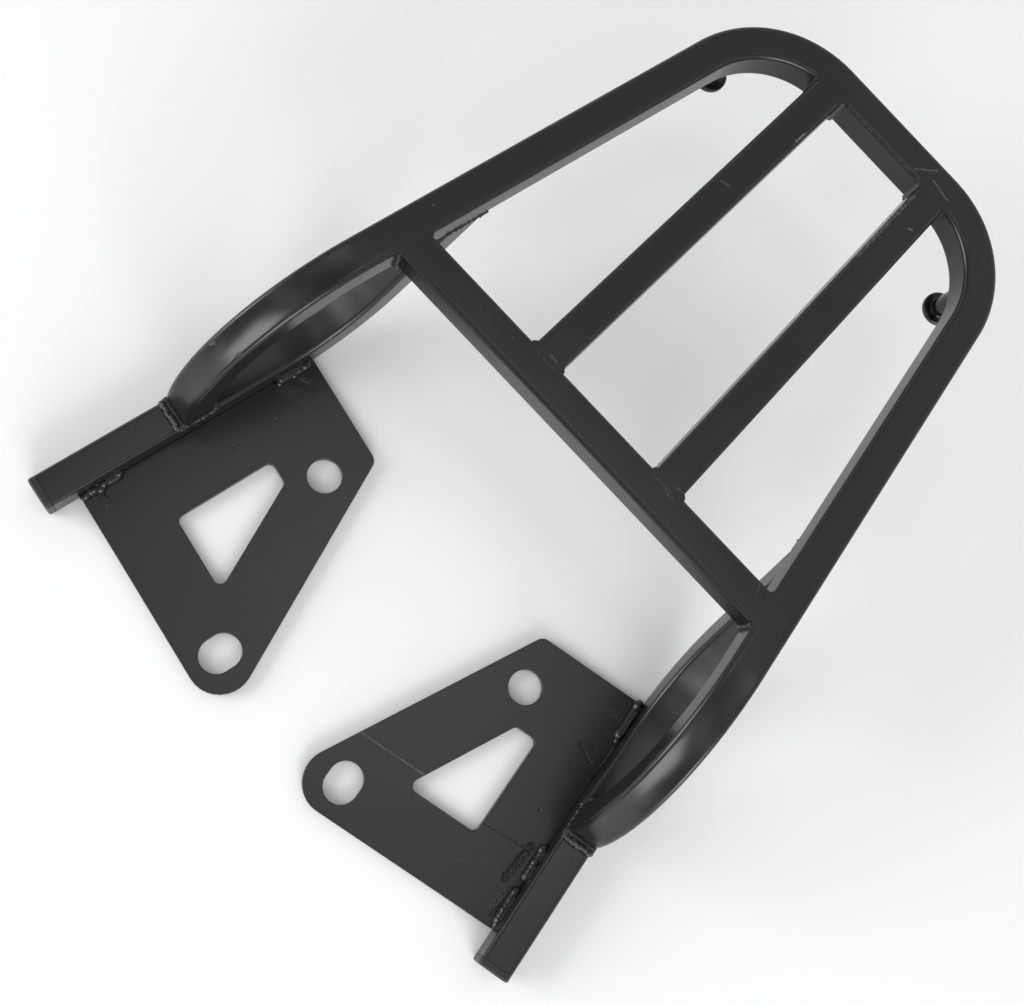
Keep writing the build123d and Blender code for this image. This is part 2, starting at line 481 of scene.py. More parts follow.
def pits(height: float, *rows: tuple[float, ...]) -> tuple[Scuff, ...]:
    """Small pits on a level face, each given by its x, y and width."""
    return marks(height, *((x, y, x + 0.3, y, width, 0.15, 0.7, 0.35) for x, y, width in rows))


RAIL_MARKS = pits(
    SIZES.tube, (139.3, 67.4, 0.6), (133.7, 42.5, 0.6), (129.3, 50.0, 0.8), (135.3, 67.0, 0.4)
)
HOOP_MARKS = (
    *marks(
        SIZES.deck,
        (-17.2, -278.5, -25.3, -286.8, 0.7, 0.35, 0.8),
        (-27.2, -281.5, -38.3, -279.6, 0.7, 0.35, 0.8),
        (-29.2, -277.2, -37.0, -276.4, 0.9, 0.4, 0.9),
        (104.1, -79.2, 103.5, -79.2, 0.9, 0.15, 0.7, -0.2),
        (112.6, -93.9, 112.0, -93.9, 0.6, 0.2, 0.6, -0.15),
    ),
    *marks(SIZES.deck - 0.5, (24.0, -276.0, -25.0, -276.0, 0.35, 0.5, 1.6, 0.02)),
    Scuff((133.2, 8.6, 69.4), (134.2, 10.2, 68.2), 1.0, 0.45, 0.8, 0.4),
    Scuff((121.2, 4.2, 75.8), (122.2, 6.6, 73.5), 0.7, 0.2, 0.8, 0.5),
)
CROSS_MARKS = marks(
    SIZES.deck,
    (38.2, -83.0, 28.2, -83.0, 1.3, 0.22, 2.0, -0.12),
    (-32.8, -83.4, -44.6, -81.0, 1.3, 0.22, 2.0, -0.12),
    (67.6, -77.7, 67.1, -77.7, 0.5, 0.2, 0.6, -0.15),
    (48.9, -78.9, 48.3, -78.9, 0.5, 0.2, 0.6, -0.15),
    (-96.6, -83.0, -99.0, -78.0, 0.5, 0.15, 0.8),
)
BAR_MARKS = {
    Side.RIGHT: marks(
        SIZES.deck,
        (28.8, -242.8, 28.7, -249.9, 0.55, 0.9, 1.2, 0.04),
        (38.3, -201.2, 34.5, -202.1, 0.6, 0.25, 1.0, -0.1),
        (32.7, -85.6, 29.2, -85.6, 0.8, 0.2, 1.5, -0.1),
    ),
    Side.LEFT: marks(
        SIZES.deck,
        (-26.9, -226.0, -25.6, -268.0, 1.6, 0.35, 0.9, 0.03),
        (-34.9, -254.2, -36.4, -255.0, 0.8, 0.4, 0.8),
        (-43.6, -85.8, -46.4, -85.8, 0.8, 0.2, 1.5, -0.1),
    ),
}
PLATE_MARKS = {
    Side.RIGHT: marks(
        SIZES.plate,
        (135.0, 82.0, 124.0, 80.0, 2.6, 0.10, 1.3, -0.5),
        (117.0, -22.5, 107.0, -25.5, 2.2, 0.14, 1.2, -0.4),
        (112.0, -15.0, 100.0, -20.0, 5.0, 0.05, 0.7, -0.15),
    )
    + pits(SIZES.plate, (106.0, 21.9, 0.9), (93.5, -20.3, 0.6), (102.2, -1.8, 0.8))
    + pits(SIZES.plate, (61.2, 25.0, 0.4), (115.8, 75.6, 0.5), (116.9, 32.6, 0.5)),
    Side.LEFT: marks(
        SIZES.plate,
        (-30.1, 69.1, -63.3, 61.9, 0.8, 0.45, 0.8, 0.25),
        (-95.8, 57.6, -121.7, 50.6, 0.9, 0.10, 0.8, 0.45),
        (-98.6, 47.4, -125.2, 43.5, 0.3, 0.15, 1.6, 0.05),
        (-108.1, 67.1, -120.0, 68.3, 0.25, 0.25, 3.0, 0.05),
        (-104.0, 79.1, -101.0, 67.9, 0.25, 0.15, 3.0, 0.05),
        (-106.0, -22.0, -121.0, -23.5, 3.0, 0.12, 1.0, -0.4),
        (-104.2, -0.6, -114.0, 2.4, 1.3, 0.05, 0.9, 0.35),
        (-110.8, -3.0, -116.0, -6.0, 1.0, 0.05, 0.9, 0.3),
        (-122.0, 67.0, -121.0, 49.0, 2.6, 0.02, 1.0, 0.5),
        (-127.0, 83.0, -126.5, 70.0, 2.2, 0.25, 1.0, -0.4),
    )
    + pits(SIZES.plate, (-79.2, 29.6, 0.4), (-112.6, 35.0, 1.0), (-60.8, -4.0, 0.6), (-71.4, -13.8, 0.8)),
}


# Mesh tools


Move = tuple[float] | tuple[float, float, Vector]


def rounded_square(side: float, corner: float, steps: int = 6) -> list[tuple[float, float]]:
    """Outline of a square with round corners, anticlockwise, centred on 0.

    Args:
        side: Side of the square.
        corner: Radius of its corners.
        steps: Edges in each corner.

    Returns:
        Points of the outline.
    """
    points = []
    reach = side / 2 - corner
    for turn, (x, y) in enumerate(((reach, reach), (-reach, reach), (-reach, -reach), (reach, -reach))):
        for step in range(steps + 1):
            angle = math.pi / 2 * (turn + step / steps)
            points.append((x + corner * math.cos(angle), y + corner * math.sin(angle)))
    return points


@dataclass
class Station:
    """A place along a tube: where its section stands, and which way it faces."""

    origin: Vector
    side: Vector
    heading: Vector

    def ring(self, outline: Iterable[tuple[float, float]]) -> list[Vector]:
        """The outline's points in space."""
        other = self.heading.cross(self.side)
        return [self.origin + self.side * x + other * y for x, y in outline]

    def turned(self, centre: Vector, axis: Vector, angle: float) -> "Station":
        """This station turned about an axis through a centre."""
        turn = Matrix.Rotation(angle, 3, axis)
        return Station(centre + turn @ (self.origin - centre), turn @ self.side, turn @ self.heading)


def follow(start: Station, moves: Sequence[Move], step_degrees: float = 2.5) -> list[Station]:
    """Stations along straight runs and bends.

    Args:
        start: First station.
        moves: (length,) for a straight run, (radius, degrees, towards) for a bend.
        step_degrees: Turn between two stations in a bend.

    Returns:
        All stations, from the first to the last.
    """
    stations = [start]
    for move in moves:
        here = stations[-1]
        if len(move) == 1:
            stations.append(Station(here.origin + here.heading * move[0], here.side, here.heading))
            continue
        radius, degrees, towards = move
        centre = here.origin + towards * radius
        axis = here.heading.cross(towards)
        count = max(2, math.ceil(degrees / step_degrees))
        for index in range(1, count + 1):
            stations.append(here.turned(centre, axis, math.radians(degrees * index / count)))
    return stations


def onto(points: Iterable[Vector], heading: Vector, place: Vector, normal: Vector) -> list[Vector]:
    """Points moved along a heading onto a plane."""
    return [p + heading * ((place - p).dot(normal) / heading.dot(normal)) for p in points]


class Sketch:
    """Collects rings and faces in millimetres, and writes them as one mesh piece."""

    def __init__(self) -> None:
        """Starts empty."""
        self.mesh = bmesh.new()

    def ring(self, points: Iterable[Vector]) -> list[bmesh.types.BMVert]:
        """Adds a ring of points."""
        return [self.mesh.verts.new(point * MM) for point in points]

    def loft(self, rings: Sequence[Sequence[Vector]]) -> None:
        """Adds a closed skin through rings of equal length."""
        made = [self.ring(points) for points in rings]
        for first, second in zip(made, made[1:]):
            for index, vert in enumerate(first):
                after = (index + 1) % len(first)
                self.mesh.faces.new((vert, first[after], second[after], second[index]))
        self.mesh.faces.new(list(reversed(made[0])))
        self.mesh.faces.new(made[-1])

    def flip(self, side: Side) -> None:
        """Mirrors the sketch for the left side."""
        if side is Side.LEFT:
            bmesh.ops.scale(self.mesh, vec=(-1.0, 1.0, 1.0), verts=self.mesh.verts)

    def piece(self, name: str, material: bpy.types.Material, sharp: float = 50.0) -> bpy.types.Object:
        """Writes the piece, smooth over its rounded edges.

        Args:
            name: Name of the piece.
            material: Its finish.
            sharp: Degrees past which an edge stays sharp.

        Returns:
            The new object.
        """
        bmesh.ops.recalc_face_normals(self.mesh, faces=self.mesh.faces)
        for face in self.mesh.faces:
            face.smooth = True
        for edge in self.mesh.edges:
            edge.smooth = not edge.is_manifold or edge.calc_face_angle(0.0) < math.radians(sharp)
        data = bpy.data.meshes.new(name)
        self.mesh.to_mesh(data)
        self.mesh.free()
        data.materials.append(material)
        return weigh(data, name)


def show(name: str, data: bpy.types.ID) -> bpy.types.Object:
    """Adds an object of the data to the scene."""
    thing = bpy.data.objects.new(name, data)
    bpy.context.scene.collection.objects.link(thing)
    return thing


def evaluated(thing: bpy.types.Object) -> bpy.types.Mesh:
    """A new plain mesh of an object's evaluated shape."""
    bpy.context.view_layer.update()
    return bpy.data.meshes.new_from_object(thing.evaluated_get(bpy.context.evaluated_depsgraph_get()))


def weigh(data: bpy.types.Mesh, name: str) -> bpy.types.Object:
    """A plain object of the mesh whose normals lean towards its large faces."""
    thing = show(name, data)
    modifier = thing.modifiers.new("normals", "WEIGHTED_NORMAL")
    modifier.mode = "FACE_AREA"
    modifier.weight = NORMAL_WEIGHT
    modifier.keep_sharp = True
    shape = evaluated(thing)
    shape.name = name
    thing.modifiers.clear()
    thing.data = shape
    return thing


def thread(curve: bpy.types.Curve, points: Sequence[Iterable[float]], closed: bool = False) -> None:
    """Adds a spline of straight stretches through points in metres."""
    spline = curve.splines.new("POLY")
    spline.points.add(len(points) - 1)
    for spot, point in zip(spline.points, points):
        spot.co = (*point, 1.0)
    spline.use_cyclic_u = closed


def adopt(thing: bpy.types.Object, slot: str, *nodes: str) -> None:
    """Lets a piece ride on the rack and stand for its nodes."""
    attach(thing, BODY)
    if nodes:
        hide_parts(*nodes)
    log.info("%s: %d faces", thing.name, len(thing.data.polygons))


def lofted(
    name: str,
    rings: Sequence[Sequence[Vector]],
    material: bpy.types.Material,
    slot: str,
    node: str,
    side: Side = Side.RIGHT,
) -> None:
    """Makes a piece as a closed skin through rings, and dresses it.

    Args:
        name: Name of the piece.
        rings: Rings of equal length, as a right-hand piece.
        material: Its finish.
        slot: Name of its slot in the record; not used.
        node: Node of the frame that it stands for.
        side: Side that it is on.
    """
    sketch = Sketch()
    sketch.loft(rings)
    sketch.flip(side)
    adopt(sketch.piece(name, material), slot, node)


# Weld ripples


@dataclass(frozen=True)
class Bead:
    """Size and spacing of a weld's ripples, in millimetres.

    Attributes:
        radius: Radius of a ripple across the path.
        pitch: Distance between ripples.
        share: Thickness of a ripple along the path, as a share of its radius.
        wander: How far ripples stray.
    """

    radius: float
    pitch: float
    share: float = 0.7
    wander: float = 0.18

    @classmethod
    def neat(cls, radius: float) -> "Bead":
        """An even bead of that radius."""
        return cls(radius, radius * 0.6)


class RippleTree:
    """Geometry tree that lays overlapping weld ripples along a path."""

    SMALLEST = 0.78
    LARGEST = 1.2
    """Range of a ripple's size, as a share of the bead's radius."""
    SIZE_SEED = 7.0
    """What the sizes' seed adds to the seed of the places."""

    def __init__(self) -> None:
        """Builds the tree with its named inputs."""
        self.tree = bpy.data.node_groups.new("weld_ripples", "GeometryNodeTree")
        face = self.tree.interface
        face.new_socket("Geometry", in_out="INPUT", socket_type="NodeSocketGeometry")
        for name in ("Pitch", "Radius", "Length Share", "Wander"):
            face.new_socket(name, in_out="INPUT", socket_type="NodeSocketFloat")
        face.new_socket("Seed", in_out="INPUT", socket_type="NodeSocketInt")
        face.new_socket("Material", in_out="INPUT", socket_type="NodeSocketMaterial")
        face.new_socket("Geometry", in_out="OUTPUT", socket_type="NodeSocketGeometry")
        self.ids = {item.name: item.identifier for item in face.items_tree if item.in_out == "INPUT"}
        self._fill()

    def _fill(self) -> None:
        """Lays out the nodes: points on the path, a squashed ball on each, realized and dressed."""
        board = Board(self.tree)
        path = board.add("NodeGroupInput", out="Geometry")
        seed = path.twin("Seed")
        steps = {"Curve": path, "Length": path.twin("Pitch")}
        points = board.add("GeometryNodeCurveToPoints", {"mode": "LENGTH"}, steps, "Points")
        limits = {0: (-1.0, -1.0, -1.0), 1: (1.0, 1.0, 1.0), "Seed": seed}
        stray = board.add("FunctionNodeRandomValue", {"data_type": "FLOAT_VECTOR"}, limits)
        shift = board.vector("SCALE", {0: stray, "Scale": path.twin("Wander")})
        moved = board.add("GeometryNodeSetPosition", {}, {"Geometry": points, "Offset": shift})
        limits = {2: self.SMALLEST, 3: self.LARGEST, "Seed": seed + self.SIZE_SEED}
        vary = board.add("FunctionNodeRandomValue", {"data_type": "FLOAT"}, limits, 1)
        size = vary * path.twin("Radius")
        thin = size * path.twin("Length Share")
        scale = board.add("ShaderNodeCombineXYZ", {}, {0: size, 1: size, 2: thin})
        ball = board.add("GeometryNodeMeshIcoSphere", {}, {"Radius": 1.0, "Subdivisions": 2}, "Mesh")
        values = {"Points": moved, "Instance": ball, "Rotation": points.twin("Rotation"), "Scale": scale}
        placed = board.add("GeometryNodeInstanceOnPoints", {}, values)
        real = board.add("GeometryNodeRealizeInstances", {}, {0: placed})
        smooth = board.add("GeometryNodeSetShadeSmooth", {}, {"Geometry": real})
        values = {"Geometry": smooth, "Material": path.twin("Material")}
        dressed = board.add("GeometryNodeSetMaterial", {}, values)
        end = self.tree.nodes.new("NodeGroupOutput")
        self.tree.links.new(dressed.socket, end.inputs[0])

    def lay(
        self,
        name: str,
        paths: Sequence[Sequence[Vector]],
        material: bpy.types.Material,
        bead: Bead,
        seed: int,
    ) -> bpy.types.Object:
        """Lays ripples along paths and returns them as one plain piece.

        Args:
            name: Name of the piece.
            paths: Points of each path, in millimetres.
            material: Finish of the ripples.
            bead: Size and spacing of the ripples.
            seed: Fixed seed of the variation.

        Returns:
            The piece, a plain mesh.
        """
        curve = bpy.data.curves.new(name, "CURVE")
        curve.dimensions = "3D"
        for points in paths:
            thread(curve, [point * MM for point in points])
        thing = show(name, curve)
        modifier = thing.modifiers.new("ripples", "NODES")
        modifier.node_group = self.tree
        values = {"Pitch": bead.pitch * MM, "Radius": bead.radius * MM, "Length Share": bead.share}
        values |= {"Wander": bead.wander * MM, "Seed": seed, "Material": material}
        for key, value in values.items():
            modifier[self.ids[key]] = value
        data = evaluated(thing)
        bpy.data.objects.remove(thing)
        return show(name, data)


@dataclass(frozen=True)
class Joint:
    """Where a tube ends on a flat wall.

    Attributes:
        origin: Middle of the tube's end, on the wall.
        normal: Out of the wall, along the tube.
        along: Direction on the wall in which the tube's ends stand off the corners.
        half: Half width of the tube on the wall, in that direction.
        other: Direction of the tube's two flush sides.
        short: How far the ripples in a corner stop short of the flush sides.
        sunk: How far the ripples of a flush seam lie inside the wall.
        past: How far they reach past the tube's edges.
    """

    origin: Vector
    normal: Vector
    along: Vector
    half: float
    other: Vector
    short: float = 1.2
    sunk: float = 0.6
    past: float = 1.0

    def corner_path(self, sign: int, rise: float) -> list[Vector]:
        """Path in the corner beside the tube, from one flush side to the other."""
        middle = self.origin + self.along * (sign * (self.half + rise)) + self.normal * rise
        reach = SIZES.tube / 2 - self.short
        return [middle - self.other * reach, middle + self.other * reach]

    def flush_path(self, sign: int, depth: float) -> list[Vector]:
        """Path along the seam on one of the two flush sides."""
        middle = self.origin + self.other * (sign * (SIZES.tube / 2 - depth)) - self.normal * self.sunk
        reach = self.half + self.past
        return [middle - self.along * reach, middle + self.along * reach]

    def on(self, side: Side) -> "Joint":
        """This right-hand joint as it is on the other side."""
        turned = [side.across(v) for v in (self.origin, self.normal, self.along, self.other)]
        return Joint(turned[0], turned[1], turned[2], self.half, turned[3])


# The rack's pieces


@dataclass
class Hoop:
    """Upper hoop: rear bar, legs and front bends, bent from one tube.

    Attributes:
        sizes: The rack's shared sizes.
        drop: Degrees of the front bends.
        sink: How far the bender has sunk the middle of their outer face.
        fade: Power by which the sink sets in, low for a sudden start.
    """

    sizes: RackSizes = SIZES
    drop: float = 82.0
    sink: float = 0.7
    fade: float = 0.6

    def section(self, station: Station) -> list[Vector]:
        """Ring at a station; the bender has sunk the outer face of the front bends."""
        s = self.sizes
        share = math.degrees(math.asin(min(max(-station.heading.z, 0.0), 1.0))) / self.drop
        sink = 0.0
        if 0.01 < share < 0.99:
            sink = self.sink * math.sin(math.pi * share) ** self.fade
        outline = rounded_square(s.tube, s.corner)
        first = len(outline) // 4
        reach = s.tube / 2 - s.corner
        spots = [1 - index / 4 for index in range(1, 8)]
        face = [(reach * spot, s.tube / 2 - sink * (1 - spot * spot)) for spot in spots]
        return station.ring(outline[:first] + face + outline[first:])

    def half(self) -> list[Station]:
        """Stations from the middle of the rear bar to the right foot."""
        s = self.sizes
        turn = 90.0 - math.degrees(s.spread)
        back = s.tube / 2 / math.cos(s.spread)
        corner = s.leg_point(back, s.middle)
        tangent = s.rear_bend * math.tan(math.radians(turn / 2))
        start = Station(Vector((0.0, corner.y, corner.z)), FORWARD.copy(), ACROSS.copy())
        moves = [(corner.x - tangent,), (s.rear_bend, turn, FORWARD)]
        moves += [(s.drop_start - back - tangent,), (s.drop_bend, self.drop, -UP)]
        return follow(start, moves)

    def build(self, material: bpy.types.Material) -> None:
        """Builds and dresses the hoop."""
        s = self.sizes
        stations = self.half()
        rings = [self.section(station) for station in stations]
        foot = s.leg_point(0.0, s.tube)
        rings.append(onto(rings[-1], stations[-1].heading, foot, UP))
        mirrored = [[Side.LEFT.across(p) for p in ring] for ring in reversed(rings[1:])]
        lofted("rack_hoop", mirrored + rings, material, "tube_paint", "hoop_tube")


@dataclass
class StraightBar:
    """A straight tube whose ends are cut to two planes."""

    name: str
    node: str
    start: Vector
    end: Vector
    side: Vector
    start_cut: Vector
    end_cut: Vector

    def build(self, material: bpy.types.Material) -> None:
        """Builds and dresses the bar."""
        heading = (self.end - self.start).normalized()
        outline = rounded_square(SIZES.tube, SIZES.corner)
        rings = []
        for place, cut in ((self.start, self.start_cut), (self.end, self.end_cut)):
            ring = Station(place, self.side, heading).ring(outline)
            rings.append(onto(ring, heading, place, cut))
        lofted(self.name, rings, material, "tube_paint", self.node)


@dataclass
class LowerRail:
    """Lower rail: open front end, straight run over the plate, bend up to the leg.

    Attributes:
        side: Side that the rail is on.
        sizes: The rack's shared sizes.
        socket: Depth of the open front end.
        bend_start: Distance along the leg at which the bend starts.
        bend: Radius of the bend.
        rise: Degrees of the bend.
        bow: How far before the bend the left rail leaves its straight line.
        bow_radius: Radius of the two slight bends of the bow.
    """

    side: Side
    sizes: RackSizes = SIZES
    socket: float = 19.0
    bend_start: float = 278.0
    bend: float = 72.0
    rise: float = 54.0
    bow: float = 34.0
    bow_radius: float = 150.0

    def path(self) -> list[Station]:
        """Stations of the rail, seen as a right-hand one; the left one has a slight bow outwards."""
        s = self.sizes
        bowed = self.side is Side.LEFT
        start = Station(s.leg_point(s.rail_length, s.tube / 2), s.outward.copy(), -s.leg_dir)
        stations = follow(start, [(s.rail_length - self.bend_start - self.bow * bowed,)])
        for degrees, sign, rest in ((3.5, 1, 8.0), (3.6, -1, 7.4)) if bowed else ():
            here = stations[-1]
            stations += follow(here, [(self.bow_radius, degrees, here.side * sign), (rest,)])[1:]
        rise = math.radians(self.rise)
        rest = (s.under - s.tube / 2 - self.bend * (1 - math.cos(rise))) / math.sin(rise)
        return stations + follow(stations[-1], [(self.bend, self.rise, UP), (rest - s.tube,)])[1:]

    def build(self, material: bpy.types.Material) -> None:
        """Builds and dresses the rail."""
        s = self.sizes
        stations = self.path()
        start = stations[0]
        outline = rounded_square(s.tube, s.corner)
        inner = rounded_square(s.tube - 2 * s.wall, s.corner - s.wall)
        deep = Station(start.origin + start.heading * self.socket, start.side, start.heading)
        rings = [deep.ring(inner), start.ring(inner)] + [station.ring(outline) for station in stations]
        rings.append(onto(rings[-1], stations[-1].heading, UP * s.under, UP))
        word = self.side.word
        lofted(f"rack_rail_{word}", rings, material, "tube_paint", f"lower_rail_{word}", self.side)


@dataclass
class MountPlate:
    """Laser-cut plate with a window, a round hole and a slot.

    Attributes:
        side: Side that the plate is on.
        sizes: The rack's shared sizes.
        setback: Distance from the rail's front end to the plate.
        length: Length of the edge along the rail.
        rake: Angle of the front and rear edges to the square, in radians.
        rear_depth: Distance from the rail to the rear corner.
        front_depth: Distance from the rail to the front tip.
        tip_radius: Radius of the tip.
        corner: Radius of the rear corner.
        web: Width of the plate round the window.
        rear_web: Its width behind the window.
        window_corner: Radius of the window's corners.
        hole: Diameter of the round hole and width of the slot.
        hole_half: X of the round hole's middle.
        slot_half: X of the slot's middle.
        slot_forward: Y of the slot's middle.
        slot_length: Length of the slot.
        edge: Rounding of the plate's edges.
    """

    side: Side
    sizes: RackSizes = SIZES
    setback: float = 11.7
    length: float = 123.5
    rake: float = math.radians(2.0)
    rear_depth: float = 56.5
    front_depth: float = 121.0
    tip_radius: float = 15.0
    corner: float = 5.0
    web: float = 31.0
    rear_web: float = 42.0
    window_corner: float = 3.2
    hole: float = 16.5
    hole_half: float = 68.0
    slot_half: float = 40.0
    slot_forward: float = 90.0
    slot_length: float = 20.0
    edge: float = 0.35

    def outline(self) -> list[Vector]:
        """Corners in rail coordinates: inwards from the rail, back from its end."""
        lean = math.tan(self.rake)
        rear = self.setback + self.length
        return [
            Vector((0.0, self.setback)),
            Vector((self.front_depth, self.setback - self.front_depth * lean)),
            Vector((self.rear_depth, rear - self.rear_depth * lean)),
            Vector((0.0, rear)),
        ]

    def window(self) -> list[Vector]:
        """Corners of the window: the outline set in by the webs."""
        corners = self.outline()
        insets = (self.web, self.web, self.rear_web, self.web)
        lines = []
        for start, end, inset in zip(corners, corners[1:] + corners[:1], insets):
            run = (end - start).normalized()
            lines.append((start + Vector((-run.y, run.x)) * inset, run))
        return [crossing(lines[index - 1], line) for index, line in enumerate(lines)]

    def build(self, material: bpy.types.Material) -> None:
        """Builds and dresses the plate."""
        s = self.sizes
        shape = rounded(self.outline(), [0.0, self.tip_radius, self.corner, 0.0])
        corners = self.window()
        window = rounded(corners, [self.window_corner] * len(corners))
        place = s.leg_point(s.rail_length, 0.0) - s.outward * (s.tube / 2)
        loops = []
        for loop in (shape, window):
            loops.append([place - s.outward * p.x - s.leg_dir * p.y for p in loop])
        centre = Vector((self.hole_half, 0.0, 0.0))
        loops.append([centre + arm(self.hole / 2, turn) for turn in turns(HOLE_EDGES)])
        loops.append(self.slot())
        data = self._flat(loops)
        data.materials.append(material)
        piece = weigh(data, f"rack_plate_{self.side.word}")
        adopt(piece, "plate_paint", f"mount_plate_{self.side.word}")

    def slot(self) -> list[Vector]:
        """Outline of the slot, which runs along the rail."""
        s = self.sizes
        centre = Vector((self.slot_half, self.slot_forward, 0.0))
        reach = s.leg_dir * ((self.slot_length - self.hole) / 2)
        points = []
        for turn in turns(HOLE_EDGES):
            point = arm(self.hole / 2, turn)
            points.append(centre + point + (reach if point.dot(s.leg_dir) > 0 else -reach))
        return points

    def _flat(self, loops: Sequence[Sequence[Vector]]) -> bpy.types.Mesh:
        """A sheet of the plate's thickness inside the loops, with slightly rounded edges."""
        curve = bpy.data.curves.new("plate", "CURVE")
        curve.dimensions = "2D"
        curve.fill_mode = "BOTH"
        curve.extrude = (self.sizes.plate / 2 - self.edge) * MM
        curve.bevel_depth = self.edge * MM
        curve.bevel_resolution = 2
        curve.offset = -self.edge * MM
        for loop in loops:
            thread(curve, [(p.x * MM * self.side.value, p.y * MM, 0.0) for p in loop], True)
        thing = show("plate", curve)
        data = evaluated(thing)
        bpy.data.objects.remove(thing)
        sheet = bmesh.new()
        sheet.from_mesh(data)
        bmesh.ops.remove_doubles(sheet, verts=sheet.verts, dist=1e-6)
        bmesh.ops.translate(sheet, vec=UP * (self.sizes.plate / 2 * MM), verts=sheet.verts)
        bmesh.ops.recalc_face_normals(sheet, faces=sheet.faces)
        for face in sheet.faces:
            face.smooth = True
        sheet.to_mesh(data)
        sheet.free()
        data.materials.clear()
        return data


def crossing(first: tuple[Vector, Vector], second: tuple[Vector, Vector]) -> Vector:
    """Where two flat lines cross, each given as a point and a direction."""
    (p, u), (q, v) = first, second
    share = ((q - p).x * v.y - (q - p).y * v.x) / (u.x * v.y - u.y * v.x)
    return p + u * share


def turns(count: int) -> list[float]:
    """Angles that share out a full turn, half a step off zero."""
    return [2 * math.pi * (index + 0.5) / count for index in range(count)]


def arm(radius: float, angle: float) -> Vector:
    """Flat vector of that length and angle."""
    return Vector((radius * math.cos(angle), radius * math.sin(angle), 0.0))


def rounded(corners: Sequence[Vector], radii: Sequence[float], steps: int = 10) -> list[Vector]:
    """Closed outline whose corners have their own radii.

    Args:
        corners: Corner points, in order.
        radii: Radius at each corner, 0 for a sharp one.
        steps: Edges in each arc.

    Returns:
        Points of the outline.
    """
    points = []
    for index, (corner, radius) in enumerate(zip(corners, radii)):
        if not radius:
            points.append(corner.copy())
            continue
        before = (corners[index - 1] - corner).normalized()
        after = (corners[(index + 1) % len(corners)] - corner).normalized()
        half = before.angle(after) / 2
        centre = corner + (before + after).normalized() * (radius / math.sin(half))
        first = corner + before * (radius / math.tan(half)) - centre
        last = corner + after * (radius / math.tan(half)) - centre
        for step in range(steps + 1):
            points.append(centre + first.slerp(last, step / steps) * radius)
    return points


@dataclass
class StrapPeg:
    """Turned peg under a rear corner of the hoop.

    Attributes:
        side: Side that the peg is on.
        sizes: The rack's shared sizes.
        shank: Diameter of the shank.
        length: Length of the peg below the hoop.
        head: Diameter of the head.
        head_thickness: Thickness of the head.
        edge: Rounding of the head's edges.
    """

    side: Side
    sizes: RackSizes = SIZES
    shank: float = 9.6
    length: float = 23.5
    head: float = 16.6
    head_thickness: float = 3.2
    edge: float = 1.0

    def place(self) -> Vector:
        """Where the peg's axis meets the hoop's underside, seen as a right-hand place."""
        s = self.sizes
        turn, shift = PEG_SPOTS[self.side]
        corner = s.leg_point(s.tube / 2 / math.cos(s.spread), 0.0)
        tangent = s.rear_bend * math.tan(math.radians(90.0 - math.degrees(s.spread)) / 2)
        centre = Vector((corner.x - tangent, corner.y + s.rear_bend, s.under))
        return centre + arm(s.rear_bend + shift, -s.spread - math.radians(turn))

    def build(self, material: bpy.types.Material) -> None:
        """Builds and dresses the peg."""
        foot = self.place() - UP * self.length
        outer, thick, shank = self.head / 2, self.head_thickness, self.shank / 2
        inner = outer - self.edge
        # Radius and height of each ring, from the middle of the head's underside to the hoop.
        profile = [(0.6, 0.25), (inner - 2.0, 0.12), (inner - 0.8, 0.0)]
        for turn in arc(90.0, 5):
            profile.append((inner + self.edge * math.sin(turn), self.edge * (1 - math.cos(turn))))
        for turn in arc(90.0, 5):
            profile.append((inner + self.edge * math.cos(turn), thick - self.edge * (1 - math.sin(turn))))
        profile += [(shank + 0.9, thick), (shank + 0.25, thick + 0.25), (shank, thick + 0.9)]
        profile += [(shank, self.length), (shank, self.length + self.sizes.corner)]
        rings = [[foot + arm(r, a) + UP * z for a in turns(PEG_EDGES)] for r, z in profile]
        word = self.side.word
        lofted(f"rack_peg_{word}", rings, material, "peg_paint", f"strap_peg_{word}", self.side)


def arc(degrees: float, steps: int) -> list[float]:
    """Angles in radians from 0 to a number of degrees."""
    return [math.radians(degrees * index / steps) for index in range(steps + 1)]


